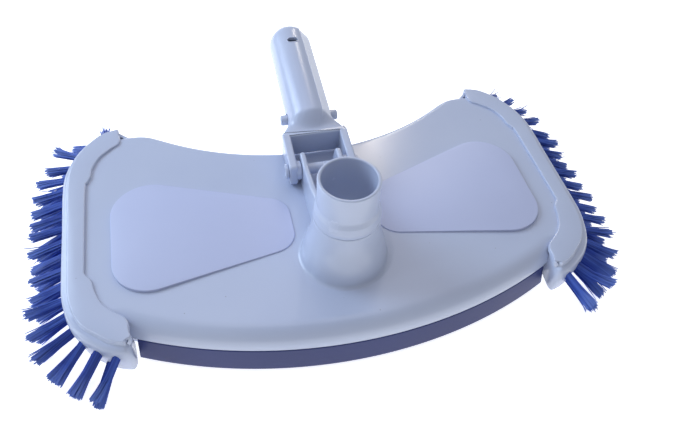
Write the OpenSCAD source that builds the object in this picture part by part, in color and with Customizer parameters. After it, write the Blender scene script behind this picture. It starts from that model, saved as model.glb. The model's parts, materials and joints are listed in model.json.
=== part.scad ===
// Pool vacuum head with brushes along both ends. Millimetres, floor at Z = 0, +Y towards the handle.
// The head is drawn round the hose port's axis and then moved, so that the origin is the middle of
// the whole model's footprint.

/* [Head] */
// Height of the shell's flat top above the floor
plate_top = 35.2; // [34:0.2:38]
// Thickness of the shell's walls
wall = 2.6; // [2:0.2:3.2]
// Thickness of the shell's top plate
plate_t = 3.2; // [3:0.2:4]
// Radius of the front edge in plan
front_r = 328; // [320:1:340]
// Distance from the hose port's axis to the front edge
front_reach = 59.9; // [56:0.1:64]
// Radius of the hollow rear edge in plan
rear_r = 200; // [190:1:210]
// Distance from the hose port's axis to the rear edge
rear_reach = 104.8; // [102:0.1:108]
// Radius of the roll along the shell's front edge
roll_r = 12; // [8:1:12]
// Height of the raised pads over the flat top
pad_h = 0.8; // [0.4:0.1:1.5]

/* [Bumper] */
// Height of the bumper's lower edge above the floor
bumper_z = 3.6; // [3:0.2:5]
// Height of the bumper strip
bumper_h = 17.2; // [15:0.2:18]
// Thickness of the bumper at its top
bumper_t = 5; // [4:0.5:6]
// How far the bumper's lower edge stands out past its top edge
bumper_lean = 4; // [0:0.5:4]

/* [Hose port] */
// Outside diameter of the hose spigot, 1.5 inch
port_od = 38.1; // [38.1:0.1:38.1]
// Inside diameter of the hose spigot
port_id = 33; // [31:0.5:34]
// Height of the spigot's rim above the floor
rim_z = 105.2; // [100:0.2:110]
// Height of the seam between the fixed collar and the swivel
seam_z = 73.4; // [70:0.2:76]
// Radius of the swivel's foot and the collar's top
seam_r = 21.3; // [21.2:0.1:22]

/* [Handle] */
// Outside diameter of the handle tube
handle_od = 35; // [30:0.2:36]
// Wall of the handle tube
handle_wall = 2.5; // [2.2:0.1:3]
// Length from the pivot to the tip
handle_len = 150.5; // [140:0.5:170]
// Slope of the handle when it lies back on its stop
handle_rest = 8; // [8:0.5:12]
// Diameter of the pivot pin
pin_d = 8; // [7:0.5:9]
// Distance from the hose port's axis to the pivot
pivot_reach = 71.5; // [70:0.5:73]
// Height of the pivot above the floor
pivot_z = 47; // [46.5:0.1:48]
// Distance from the pivot to the snap buttons
button_reach = 50; // [46:1:60]
// Diameter of the snap buttons
button_d = 8; // [6:0.5:9]
// How far a snap button stands out of the tube
button_out = 5; // [4:0.5:6]

/* [Brushes] */
// Thickness of one bristle tuft
tuft_d = 4.8; // [4:0.2:5.4]
// Distance between the tufts of a side row
tuft_pitch = 12.4; // [11:0.2:14]
// Free length of a side tuft
tuft_len = 26; // [22:1:27]
// Distance between the tufts of a floor row
floor_pitch = 9; // [8:0.5:12]

/* [Hidden] */
$fn = 96;

white = "#dfe6f2";
navy = "#3a4372";
blue = "#3f5fb0";
steel = "#9a9da3";
rubber = "#2a2c30";
port_y = -76.94;                      // the hose port's axis, from the footprint's middle
front_cy = front_r - front_reach;
rear_cy = rear_r + rear_reach;
skirt_z = 6;                          // lower edge of the shell's walls
bumper_top = bumper_z + bumper_h;
ceiling = plate_top - plate_t;        // underside of the top plate
channel = 8;                          // width of the channels that hold the floor brush bars
block_t = 8;                          // thickness of a brush holder outside the shell's end wall
block_z = 7;                          // lower edge of a brush holder
lip_z = plate_top - 1.8;              // the step in the shell that a holder's lip lies in
lip_top = plate_top + 1;
tier_z = 32;                          // top of the holder's lower, outer step
tier_in = 5;                          // width of that step
upper_row_z = 24;
upper_tilt = 18;                      // tufts droop this many degrees below level
lower_row_z = 14;
lower_tilt = 26;
tuft_embed = 5;                       // how deep a tuft is stapled into its holder
holder_screw_z = 20;
holder_screw_len = 7;                 // shank, measured from the inside of the end wall
rib = 2.4;                            // thickness of the ribs beside the floor bars
front_rib_r = front_r - bumper_t - wall - channel;
rear_rib_r = rear_r + wall + channel;
front_row_r = front_rib_r + channel / 2;
rear_row_r = rear_rib_r - channel / 2;
front_half = asin(120 / front_row_r); // half the angle that each floor row spans
rear_half = asin(96 / rear_row_r);
bar_z = 7;
bar_h = 7;
weight_gap = 7;                       // from the pad's outline to the steel
weight_t = 7;
cover_t = 2.4;
cover_top = 21;
cover_z = cover_top - cover_t;
sleeve_r = 18.7;                      // the part of the spigot that turns inside the collar
sleeve_bore = 19;
retainer_z = 48.4;
tube_r = handle_od / 2;
bore_r = tube_r - handle_wall;
relief_end = 54;                      // up to here the tube's root is slimmer, past the snap buttons
relief = 0.2;
tip_y = handle_len - tube_r;          // centre of the domed tip
ear_in = 18.8;
ear_out = 24.8;
web_y = 26;
web_t = 5;
web_low = -14;
clip_y = 112;                         // where the clip's legs leave its bend
clip_w = 8;
leg_t = 0.8;
bend_r = 7;
post_r = 6.1;
leg_run = clip_y - button_reach + 6;
leg_x = bore_r - 1.4;                 // outer face of a leg at its button
leg_slope = atan((leg_x - bend_r) / leg_run);
eps = 0.01;

// ---------- plan curves, for the right-hand end, round the port's axis ----------
// outside edge of a brush holder, from its rear tip round the end to its front nose
END_EDGE = [[150, 160], [164, 155.5], [178, 140], [186, 120], [188, 100], [185.5, 58],
            [182.5, 10], [180, -6], [175.5, -19], [168, -29.5], [155, -39.5], [144.5, -43.6], [139, -43]];
// nose and inside edge of the holder's lip, from the front back to the rear tip
LIP_EDGE = [[137.5, -37], [139.5, -31], [140, -25], [143, -20],
            [149, -15.5], [156, -8], [160.5, 2], [163, 11], [167, 16.5], [168, 26], [171, 92],
            [170, 101], [168, 107], [167, 116], [162.5, 127], [155, 135], [148.5, 141], [148, 151]];
PAD_CORNERS = [[29.5, 53.6], [154.5, 101], [149.2, -10.7], [29.5, 11]];
PAD_RADII = [17, 26, 26, 16];

function unit(v) = v / norm(v);
function left_of(v) = [-v[1], v[0]];
// one point of a Catmull-Rom curve between b and c
function cr(a, b, c, d, t) =
    0.5 * (2 * b + (c - a) * t + (2 * a - 5 * b + 4 * c - d) * t * t
           + (3 * b - a - 3 * c + d) * t * t * t);
// an open curve through all the points of p, n steps between two points
function curve(p, n = 4) = concat(
    [for (i = [0 : len(p) - 2]) for (k = [0 : n - 1])
        cr(p[max(i - 1, 0)], p[i], p[i + 1], p[min(i + 2, len(p) - 1)], k / n)],
    [p[len(p) - 1]]);
function curve_dir(p, i) = unit(p[min(i + 1, len(p) - 1)] - p[max(i - 1, 0)]);
// the same curve moved d to its left
function shifted(p, d) = [for (i = [0 : len(p) - 1]) p[i] + d * left_of(curve_dir(p, i))];
function backwards(p) = [for (i = [len(p) - 1 : -1 : 0]) p[i]];
function mirrored(p) = [for (q = p) [-q[0], q[1]]];
// length along p up to point i, and the point and outward direction at length s
function run_to(p, i) = i == 0 ? 0 : norm(p[i] - p[i - 1]) + run_to(p, i - 1);
function at_run(p, s, i = 0) =
    let (d = norm(p[i + 1] - p[i]))
    s <= d || i == len(p) - 2 ? [p[i] + (p[i + 1] - p[i]) * s / d, left_of(unit(p[i + 1] - p[i]))]
                              : at_run(p, s - d, i + 1);
// a polygon's corner points moved d inwards (corners listed clockwise)
function inset(p, d) = [for (i = [0 : len(p) - 1])
    let (a = left_of(unit(p[i] - p[(i + len(p) - 1) % len(p)])),
         b = left_of(unit(p[(i + 1) % len(p)] - p[i])))
    p[i] - d * (a + b) / (1 + a * b)];
// a polygon with every corner i rounded to radius r[i]
function rounded(p, r, n = 8) = [for (i = [0 : len(p) - 1])
    let (u = unit(p[(i + len(p) - 1) % len(p)] - p[i]), v = unit(p[(i + 1) % len(p)] - p[i]),
         half = acos(u * v) / 2, c = p[i] + unit(u + v) * r[i] / sin(half),
         first = -(left_of(u) * unit(u + v)) * left_of(u),
         s = atan2(first[1], first[0]),
         turn = 180 - 2 * half)
    for (k = [0 : n]) c + r[i] * [cos(s - turn * k / n), sin(s - turn * k / n)]];

END_CURVE = curve(END_EDGE);
END_RUN = run_to(END_CURVE, len(END_CURVE) - 1);
TUFT_COUNT = floor((END_RUN - 10) / tuft_pitch) + 1;
TUFT_START = (END_RUN - (TUFT_COUNT - 1) * tuft_pitch) / 2;
SCREW_Y = [30, 90];                    // holder screws, along Y
COVER_SCREWS = [[62, 26], [62, 42], [141, 4], [143, 84]];

module at_port() { translate([0, port_y, 0]) children(); }
// draws the children on the right and their mirror image on the left
module both_sides() {
    children();
    mirror([1, 0, 0]) children();
}

// plan of the shell: its two ends only, the front and rear edges are cut by round solids
module ends_plan(d) {
    side = shifted(END_CURVE, -block_t - d);
    polygon(concat(side, [[140, -70], [-140, -70]], backwards(mirrored(side))));
}
// everything inside the head's outline moved in by d, between two heights
module head_block(d, z0, z1) {
    difference() {
        intersection() {
            translate([0, front_cy, z0]) cylinder(r = front_r - bumper_t - d, h = z1 - z0, $fn = 360);
            translate([0, 0, z0 - eps]) linear_extrude(z1 - z0 + 2 * eps) ends_plan(d);
        }
        translate([0, rear_cy, z0 - 1]) cylinder(r = rear_r + d, h = z1 - z0 + 2, $fn = 360);
    }
}
module pad_plan(d) { polygon(rounded(inset(PAD_CORNERS, d), [for (r = PAD_RADII) r - d])); }
module lip_plan(d) { polygon(concat(shifted(END_CURVE, -d), curve(LIP_EDGE, 3))); }

// ---------- shell ----------
module rolled_top() {
    difference() {
        intersection() {
            translate([0, front_cy, 0]) rotate_extrude($fn = 360) union() {
                square([front_r - roll_r, plate_top]);
                translate([0, bumper_top]) square([front_r, plate_top - roll_r - bumper_top]);
                translate([front_r - roll_r, plate_top - roll_r]) circle(roll_r);
            }
            translate([0, 0, bumper_top]) linear_extrude(plate_top) ends_plan(0);
        }
        translate([0, rear_cy, 0]) cylinder(r = rear_r, h = 60, $fn = 360);
    }
}
module collar() {
    rotate_extrude() polygon([[0, ceiling], [33, ceiling], [33, plate_top - 1], [29.5, plate_top + 1],
        [28.3, 40], [27.4, 45], [25.6, 51], [23.3, 58], [21.8, 66], [seam_r, seam_z], [0, seam_z]]);
}
module lug() {
    rotate([90, 0, 90]) linear_extrude(4) union() {
        translate([pivot_reach, pivot_z]) circle(9);
        polygon([[12, ceiling], [12, 69], [20, 68], [40, 60], [64, 56], [72, 57.5], [78, 57.5],
                 [82.5, 50], [85, ceiling]]);
    }
}
module cover_post(p) {
    translate([p[0], p[1], cover_top]) cylinder(r = 4, h = ceiling - cover_top + eps);
}
module ring(inner, outer) {
    difference() {
        cylinder(r = outer, h = 40, $fn = 360);
        translate([0, 0, -1]) cylinder(r = inner, h = 42, $fn = 360);
    }
}
module top_shell() {
    color(white) at_port() difference() {
        union() {
            difference() {
                union() {
                    head_block(0, skirt_z, bumper_top + eps);
                    rolled_top();
                }
                head_block(wall, skirt_z - 1, ceiling);
            }
            // inner ribs that make the channels for the floor brush bars
            intersection() {
                head_block(wall - eps, 9, ceiling + eps);
                union() {
                    translate([0, front_cy, 0]) ring(front_rib_r - rib, front_rib_r);
                    translate([0, rear_cy, 0]) ring(rear_rib_r, rear_rib_r + rib);
                }
            }
            both_sides() translate([0, 0, plate_top - eps]) linear_extrude(pad_h + eps) pad_plan(0);
            collar();
            both_sides() translate([11.3, 0, 0]) lug();
            both_sides() for (p = COVER_SCREWS) cover_post(p);
        }
        // step for the brush holders' lips
        both_sides() translate([0, 0, lip_z]) linear_extrude(10) lip_plan(-1);
        // throat of the hose port, its swivel bearing, and the grooves for the retainer
        translate([0, 0, ceiling - 1]) cylinder(r = port_id / 2 + 0.5, h = 60);
        translate([0, 0, 46]) cylinder(r = sleeve_bore, h = 60);
        translate([0, 0, retainer_z - 0.4]) cylinder(r = sleeve_bore + 1, h = 2.2);
        // pivot bores
        translate([-30, pivot_reach, pivot_z]) rotate([0, 90, 0]) cylinder(d = pin_d, h = 60);
        // pilot holes of the cover screws and clearance holes of the holder screws
        both_sides() for (p = COVER_SCREWS) translate([p[0], p[1], 20]) cylinder(r = 1.5, h = 9);
        both_sides() for (y = SCREW_Y) translate([150, y, holder_screw_z])
            rotate([0, 90, 0]) cylinder(r = 1.5, h = 40);
    }
}

// ---------- bumper ----------
module front_bumper() {
    half = asin(135.5 / front_r);
    color(navy) at_port() translate([0, front_cy, 0]) rotate([0, 0, -90 - half])
        rotate_extrude(angle = 2 * half, $fn = 360) polygon([
            [front_r - bumper_t, bumper_z], [front_r + bumper_lean - 1, bumper_z],
            [front_r + bumper_lean, bumper_z + 1.5], [front_r + 0.6, bumper_top - 1],
            [front_r - 0.4, bumper_top], [front_r - bumper_t, bumper_top]]);
}

// ---------- brush holders and their tufts ----------
module tuft_at(i, z, tilt, extra) {
    spot = at_run(END_CURVE, TUFT_START + (i + extra) * tuft_pitch);
    translate([spot[0][0], spot[0][1], z])
        rotate([0, 90 + tilt, atan2(spot[1][1], spot[1][0])])
            translate([0, 0, -tuft_embed]) cylinder(d = tuft_d, h = tuft_embed + tuft_len, $fn = 24);
}
module upper_tufts() { for (i = [0 : TUFT_COUNT - 1]) tuft_at(i, upper_row_z, upper_tilt, 0); }
module lower_tufts() { for (i = [0 : TUFT_COUNT - 2]) tuft_at(i, lower_row_z, lower_tilt, 0.5); }
// the room that the shell takes up under the holders' lips
module shell_room() {
    head_block(0, 0, bumper_top + eps);
    intersection() {
        rolled_top();
        translate([-300, -300, 0]) cube([600, 600, lip_z]);
    }
}
module brush_holder() {
    difference() {
        union() {
            translate([0, 0, block_z]) linear_extrude(tier_z - block_z) lip_plan(0);
            translate([0, 0, tier_z - eps]) linear_extrude(lip_top - tier_z + eps) lip_plan(tier_in);
        }
        shell_room();
        upper_tufts();
        lower_tufts();
        for (y = SCREW_Y) translate([end_wall_x(y) - 10, y, holder_screw_z])
            rotate([0, 90, 0]) cylinder(r = 1.5, h = 10 - wall + holder_screw_len + 0.3);
    }
}
module brush_holder_right() { color(white) at_port() brush_holder(); }
module brush_holder_left() { color(white) at_port() mirror([1, 0, 0]) brush_holder(); }
module side_tufts_right_upper() { color(blue) at_port() upper_tufts(); }
module side_tufts_right_lower() { color(blue) at_port() lower_tufts(); }
module side_tufts_left_upper() { color(blue) at_port() mirror([1, 0, 0]) upper_tufts(); }
module side_tufts_left_lower() { color(blue) at_port() mirror([1, 0, 0]) lower_tufts(); }
// self-tapping screws from inside the head into the holders
module holder_screws() {
    color(steel) at_port() both_sides() for (y = SCREW_Y)
        translate([end_wall_x(y) - wall, y, holder_screw_z]) rotate([0, 90, 0]) {
            translate([0, 0, -2]) cylinder(r = 2.8, h = 2);
            translate([0, 0, -eps]) cylinder(r = 1.5, h = holder_screw_len);
        }
}
// X of the shell's end wall at one Y, read off the curve
function end_wall_x(y, i = 0) =
    let (p = shifted(END_CURVE, -block_t))
    p[i + 1][1] <= y ? p[i][0] + (p[i + 1][0] - p[i][0]) * (y - p[i][1]) / (p[i + 1][1] - p[i][1])
                     : end_wall_x(y, i + 1);

// ---------- weights, their covers and the floor brushes ----------
module weight() {
    translate([0, 0, ceiling - weight_t]) linear_extrude(weight_t) difference() {
        pad_plan(weight_gap);
        for (p = COVER_SCREWS) translate(p) circle(4.6);
    }
}
module weight_cover() {
    difference() {
        translate([0, 0, cover_z]) linear_extrude(cover_t) pad_plan(1);
        for (p = COVER_SCREWS) translate([p[0], p[1], cover_z - 1]) cylinder(r = 1.7, h = 6);
    }
    // a low rim that holds the steel against the ceiling
    translate([0, 0, cover_top - eps]) linear_extrude(ceiling - weight_t - cover_top + eps) difference() {
        pad_plan(weight_gap + 1);
        pad_plan(weight_gap + 3.5);
        for (p = COVER_SCREWS) translate(p) circle(4.6);
    }
}
module weight_right() { color(steel) at_port() weight(); }
module weight_left() { color(steel) at_port() mirror([1, 0, 0]) weight(); }
module weight_cover_right() { color(white) at_port() weight_cover(); }
module weight_cover_left() { color(white) at_port() mirror([1, 0, 0]) weight_cover(); }
module cover_screws() {
    color(steel) at_port() both_sides() for (p = COVER_SCREWS) translate([p[0], p[1], cover_z - 2]) {
        difference() {
            cylinder(r = 2.9, h = 2);
            translate([-2, -0.4, -1]) cube([4, 0.8, 1.8]);
            translate([-0.4, -2, -1]) cube([0.8, 4, 1.8]);
        }
        cylinder(r = 1.5, h = 9);
    }
}
module floor_bar(r, half, start) {
    rotate([0, 0, start - half]) rotate_extrude(angle = 2 * half, $fn = 360)
        translate([r - channel / 2, bar_z]) square([channel, bar_h]);
}
module floor_row(r, half, start) {
    count = floor(2 * half * PI / 180 * r / floor_pitch);
    for (i = [0 : count - 1]) rotate([0, 0, start - half + 2 * half * (i + 0.5) / count])
        translate([r, 0, 0]) cylinder(d = tuft_d - 0.6, h = bar_z + 4, $fn = 24);
}
module front_row() { translate([0, front_cy, 0]) floor_row(front_row_r, front_half, -90); }
module rear_row() { translate([0, rear_cy, 0]) floor_row(rear_row_r, rear_half, -90); }
module floor_bar_front() {
    color(white) at_port() difference() {
        translate([0, front_cy, 0]) floor_bar(front_row_r, front_half + 1, -90);
        front_row();
    }
}
module floor_bar_rear() {
    color(white) at_port() difference() {
        translate([0, rear_cy, 0]) floor_bar(rear_row_r, rear_half + 1.5, -90);
        rear_row();
    }
}
module floor_tufts_front() { color(blue) at_port() front_row(); }
module floor_tufts_rear() { color(blue) at_port() rear_row(); }

// ---------- swivelling hose spigot ----------
module hose_spigot() {
    foot = seam_z + 0.3;
    color(white) at_port() rotate_extrude() difference() {
        polygon([[port_id / 2, 47], [sleeve_r, 47], [sleeve_r, foot], [seam_r, foot],
            [seam_r + 0.2, foot + 3], [20.6, foot + 7.5], [19.4, foot + 10.5], [port_od / 2, foot + 12],
            [port_od / 2, rim_z - 1], [port_od / 2 - 0.5, rim_z], [port_id / 2 + 0.5, rim_z],
            [port_id / 2, rim_z - 1]]);
        translate([17.5, retainer_z]) square([3, 1.5]);
        translate([17.4, 60]) square([3, 2]);
    }
}
module spigot_seal() {
    color(rubber) at_port() translate([0, 0, 61]) rotate_extrude()
        translate([18.1, 0]) circle(0.7, $fn = 24);
}
module spigot_retainer() {
    color(steel) at_port() translate([0, 0, retainer_z]) difference() {
        cylinder(r = 19.7, h = 1.5);
        translate([0, 0, -1]) cylinder(r = 17.5, h = 4);
        translate([16, -2, -1]) cube([6, 4, 4]);
    }
}

// ---------- handle ----------
// the handle's own frame: origin on the pivot, +Y along the tube, +Z away from the head
module at_pivot() {
    at_port() translate([0, pivot_reach, pivot_z]) rotate([handle_rest, 0, 0]) children();
}
module ear() {
    side = [[-4.5, 8.5], [web_y + web_t, 8], [web_y + web_t, web_low], [20, web_low], [-8, -10.5]];
    translate([ear_in, 0, 0]) rotate([90, 0, 90]) linear_extrude(ear_out - ear_in)
        polygon(rounded(side, [2.5, 4, 0.5, 2, 6]));
    // boss that keeps the ear clear of the lug
    translate([15.7, 0, 0]) rotate([0, 90, 0]) cylinder(r = 7, h = ear_in - 15.6);
}
// a rod along the handle, between two distances from the pivot
module rod(y0, y1, r) { translate([0, y0, 0]) rotate([-90, 0, 0]) cylinder(r = r, h = y1 - y0); }
module handle() {
    color(white) at_pivot() difference() {
        union() {
            both_sides() ear();
            translate([-ear_in - 1, web_y, web_low]) cube([2 * ear_in + 2, web_t, 8 - web_low]);
            // shoulder that spreads the tube's root over the web
            intersection() {
                rod(web_y + 1, web_y + 15, tube_r - relief);
                translate([0, web_y + 1, 0]) rotate([-90, 0, 0])
                    cylinder(r1 = tube_r - 7, r2 = tube_r + 6.5, h = 14);
            }
            rod(web_y + 9, relief_end, tube_r - relief);
            rod(relief_end, tip_y, tube_r);
            translate([0, tip_y, 0]) sphere(tube_r);
        }
        // hollow of the tube, domed at the tip, with a post that holds the clip, and open below
        difference() {
            union() {
                rod(web_y + web_t + 3, tip_y, bore_r);
                translate([0, tip_y, 0]) sphere(bore_r);
            }
            translate([0, clip_y, -tube_r]) cylinder(r = post_r, h = 2 * tube_r);
        }
        translate([-7, web_y + web_t + 3, -tube_r - 5]) cube([14, 40, 12]);
        // pivot bores, a running fit on the pin
        translate([-30, 0, 0]) rotate([0, 90, 0]) cylinder(d = pin_d + 0.12, h = 60);
        // holes for the snap buttons
        translate([-30, button_reach, 0]) rotate([0, 90, 0]) cylinder(r = button_d / 2 + 1, h = 60);
        // oblong drain hole through the upper wall near the tip
        for (x = [-1.8, 1.8]) translate([x, tip_y - 11, 0]) cylinder(r = 2.4, h = 30);
        translate([-1.8, tip_y - 13.4, 0]) cube([3.6, 4.8, 30]);
    }
}
module pivot_pin() {
    color(white) at_port() translate([0, pivot_reach, pivot_z]) rotate([0, 90, 0]) {
        translate([0, 0, -ear_out - 0.3]) cylinder(d = pin_d, h = 2 * ear_out + 2.3);
        translate([0, 0, -ear_out - 2.8]) cylinder(r = 5.5, h = 2.5);
    }
}
module pin_cap() {
    color(white) at_port() translate([ear_out + 0.3, pivot_reach, pivot_z]) rotate([0, 90, 0]) difference() {
        cylinder(r = 5.5, h = 2.5);
        translate([0, 0, -1]) cylinder(d = pin_d, h = 2.7);
    }
}

// ---------- snap clip: a sprung steel V with a button on each leg ----------
module clip_bend() {
    color(steel) at_pivot() translate([0, clip_y, -clip_w / 2])
        rotate_extrude(angle = 180) translate([bend_r - leg_t, 0]) square([leg_t, clip_w]);
}
module clip_leg() {
    difference() {
        translate([bend_r, clip_y - 0.1, -clip_w / 2]) rotate([0, 0, 180 + leg_slope])
            cube([leg_t, leg_run, clip_w]);
        translate([0, button_reach, 0]) rotate([0, 90, 0]) cylinder(r = 1.6, h = 20);
    }
}
module snap_button() {
    translate([0, button_reach, 0]) rotate([0, 90, 0]) {
        translate([0, 0, leg_x - 2]) cylinder(r = 1.6, h = 4);
        translate([0, 0, leg_x + 0.2]) cylinder(d = button_d, h = tube_r + button_out - leg_x - 0.2);
    }
}
module clip_leg_right() { color(steel) at_pivot() clip_leg(); }
module clip_leg_left() { color(steel) at_pivot() mirror([1, 0, 0]) clip_leg(); }
module snap_button_right() { color(white) at_pivot() snap_button(); }
module snap_button_left() { color(white) at_pivot() mirror([1, 0, 0]) snap_button(); }

top_shell();
front_bumper();
brush_holder_left();
brush_holder_right();
side_tufts_left_upper();
side_tufts_left_lower();
side_tufts_right_upper();
side_tufts_right_lower();
holder_screws();
weight_left();
weight_right();
weight_cover_left();
weight_cover_right();
cover_screws();
floor_bar_front();
floor_bar_rear();
floor_tufts_front();
floor_tufts_rear();
pivot_pin();
pin_cap();
hose_spigot();
spigot_seal();
spigot_retainer();
handle();
clip_bend();
clip_leg_left();
clip_leg_right();
snap_button_left();
snap_button_right();
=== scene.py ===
# %% [markdown]
# # A pool vacuum head, looks only
# The frame holds every moving and fitting part at its true size. This notebook puts finished
# surfaces round that frame: a moulded white shell, two brush holders, a navy bumper, tufts of real
# filaments, a hinged handle and a swivelling hose spigot. Lengths are written in millimetres and
# turned into metres in one place.

# %% Load the frame
import json
import math
import bmesh
import bpy
import numpy as np
from mathutils import Matrix, Vector


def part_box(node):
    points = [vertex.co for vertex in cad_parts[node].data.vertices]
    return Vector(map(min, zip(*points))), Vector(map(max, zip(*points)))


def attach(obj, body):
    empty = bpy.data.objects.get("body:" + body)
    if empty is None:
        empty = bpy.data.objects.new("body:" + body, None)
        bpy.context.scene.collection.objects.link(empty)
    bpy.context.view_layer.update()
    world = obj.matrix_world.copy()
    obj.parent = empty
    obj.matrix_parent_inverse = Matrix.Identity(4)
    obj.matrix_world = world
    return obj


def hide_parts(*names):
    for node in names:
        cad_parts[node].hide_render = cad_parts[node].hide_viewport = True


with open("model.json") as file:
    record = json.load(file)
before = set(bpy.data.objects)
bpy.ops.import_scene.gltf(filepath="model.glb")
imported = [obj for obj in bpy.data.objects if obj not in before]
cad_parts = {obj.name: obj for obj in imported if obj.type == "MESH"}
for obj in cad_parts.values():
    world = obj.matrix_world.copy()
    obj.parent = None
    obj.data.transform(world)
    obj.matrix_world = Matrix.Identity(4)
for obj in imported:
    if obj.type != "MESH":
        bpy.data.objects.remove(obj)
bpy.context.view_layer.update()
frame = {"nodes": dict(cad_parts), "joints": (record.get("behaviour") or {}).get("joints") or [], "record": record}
MM = 0.001
joints = {j["name"]: j for j in frame["joints"]}
PORT_Y = joints["hose_swivel_turn"]["pos_m"][1] / MM
PIVOT = np.array(joints["handle_pivot"]["pos_m"]) / MM
mounts = {m["name"]: m for m in frame["record"]["mounts"]}
TUBE_AXIS = np.array(mounts["handle_tube_outside"]["axis"])
PORT_R = mounts["hose_spigot_outside"]["dims"]["r_mm"]
TUBE_R = mounts["handle_tube_outside"]["dims"]["r_mm"]
RIM_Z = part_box("hose_spigot")[1].z / MM
HOLDER_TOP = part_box("brush_holder_right")[1].z / MM
PAD_TOP = HOLDER_TOP - 0.2
SHELL_TOP = PAD_TOP - 0.8
print(f"hose port at y {PORT_Y:.1f} mm, pivot at {PIVOT.round(1)}, shell top {SHELL_TOP:.1f} mm")

# %% [markdown]
# ## Camera, light and floor
# The head is seen from above and a little from its left. A large window-like softbox stands behind
# it on the left, so edges that face it shine and edges that face the viewer fall into soft shade.
# The floor is plain and nearly white.

# %% Camera
def place_camera(spot, azimuth, elevation, roll, lens):
    """A camera at spot (mm), looking azimuth and elevation away from +Y and the horizon (radians)."""
    aim = np.array([-math.sin(azimuth) * math.cos(elevation),
                    math.cos(azimuth) * math.cos(elevation), -math.sin(elevation)])
    right = np.cross(aim, [0, 0, 1])
    right /= np.linalg.norm(right)
    up = np.cross(right, aim)
    turned_right = math.cos(roll) * right + math.sin(roll) * up
    turned_up = -math.sin(roll) * right + math.cos(roll) * up
    data = bpy.data.cameras.new("camera")
    data.sensor_width = 36
    data.lens = lens
    data.clip_start = 0.01
    data.clip_end = 20
    camera = bpy.data.objects.new("camera", data)
    turn = Matrix(np.column_stack([turned_right, turned_up, -aim]).tolist()).to_4x4()
    camera.matrix_world = Matrix.Translation(Vector(np.array(spot) * MM)) @ turn
    bpy.context.scene.collection.objects.link(camera)
    bpy.context.scene.camera = camera
    return camera


CAMERA_SPOT = (-67.9, PORT_Y - 221.8, 335.2)
place_camera(CAMERA_SPOT, -0.272, 0.848, 0.055, 29.95)
print("camera placed at", CAMERA_SPOT)

# %% Colours and shader nodes
def linear(hex_colour, alpha=1.0):
    """An sRGB colour such as 'a0b0c0' as linear RGBA: the standard transfer curve, undone."""
    s = np.array([int(hex_colour[i:i + 2], 16) / 255 for i in (0, 2, 4)])
    lin = np.where(s <= 0.04045, s / 12.92, ((s + 0.055) / 1.055) ** 2.4)
    return (*lin.tolist(), alpha)


def pick(sockets, name):
    """The socket of that name which the node's settings leave in use."""
    return next(s for s in sockets if s.name == name and s.enabled)


def add(tree, kind, inputs=None, **settings):
    """Adds a shader node, sets its settings, and sets or links its inputs."""
    made = tree.nodes.new(kind)
    for name, value in settings.items():
        setattr(made, name, value)
    for name, value in (inputs or {}).items():
        if isinstance(value, bpy.types.NodeSocket):
            tree.links.new(value, pick(made.inputs, name))
        else:
            pick(made.inputs, name).default_value = value
    return made


def per_metre(size_mm):
    """The Scale of a texture whose pattern repeats about every size_mm, on coordinates in metres."""
    return 1 / (size_mm * MM)


# %% Light and floor
def soft_light(name, spot, aim, size, watts, colour):
    """A square area light at spot, turned to face aim, both in metres."""
    data = bpy.data.lights.new(name, "AREA")
    data.shape = "RECTANGLE"
    data.size, data.size_y = size
    data.energy = watts
    data.color = linear(colour)[:3]
    light = bpy.data.objects.new(name, data)
    light.location = spot
    light.rotation_mode = "QUATERNION"
    light.rotation_quaternion = (Vector(aim) - Vector(spot)).to_track_quat("-Z", "Y")
    bpy.context.scene.collection.objects.link(light)
    return light


soft_light("window", (-1.1, 0.75, 0.85), (0, 0, 0.03), (0.8, 0.8), 14, "cfe4ff")
soft_light("overhead", (0.0, 0.4, 1.5), (0, 0, 0), (1.2, 1.2), 4.6, "f4f2ff")
soft_light("lamp_strip", (0.42, 1.05, 0.8), (0.05, 0, 0.03), (0.07, 0.5), 2.2, "fff3e0")
soft_light("side_strip", (-1.1, -0.15, 0.32), (-0.19, 0, 0.03), (0.1, 0.9), 1.6, "e6f6ff")
world = bpy.data.worlds.new("studio")
world.use_nodes = True
world.node_tree.nodes["Background"].inputs["Color"].default_value = linear("d8dbe2")
world.node_tree.nodes["Background"].inputs["Strength"].default_value = 0.5
bpy.context.scene.world = world
bpy.context.scene.view_settings.view_transform = "Standard"

floor_finish = bpy.data.materials.new("floor_white")
floor_finish.use_nodes = True
floor_shader = floor_finish.node_tree.nodes["Principled BSDF"]
floor_shader.inputs["Base Color"].default_value = linear("fafafa")
floor_shader.inputs["Roughness"].default_value = 0.9
floor_shader.inputs["Emission Color"].default_value = linear("ffffff")
floor_shader.inputs["Emission Strength"].default_value = 0.8
half = 4.0
floor_mesh = bpy.data.meshes.new("floor")
floor_mesh.from_pydata([(-half, -half, 0), (half, -half, 0), (half, half, 0), (-half, half, 0)],
                       [], [(0, 1, 2, 3)])
floor_mesh.materials.append(floor_finish)
floor = bpy.data.objects.new("floor", floor_mesh)
bpy.context.scene.collection.objects.link(floor)
print("floor and", len(bpy.data.lights), "lights")

# %% [markdown]
# ## Materials
# The head is injection moulded ABS. Its tool was polished over the shell, which leaves a gloss with
# a very fine orange peel, and spark eroded on the two pads, which leaves a satin grain. The bumper
# is an extruded soft PVC strip and the bristles are crimped polypropylene filament. Each moulded finish
# is one shader with a slow change of tone, a slow change of gloss and a bump at its true size; the
# filament has no bump, and its tone and gloss change from one filament to the next.

# %% White ABS
def tone_mix(tree, factor, first, second):
    """A colour that goes from first to second with factor, by a colour ramp of two stops."""
    ramp = add(tree, "ShaderNodeValToRGB", {"Fac": factor})
    ramp.color_ramp.elements[0].color = linear(first)
    ramp.color_ramp.elements[1].color = linear(second)
    return ramp


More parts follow.
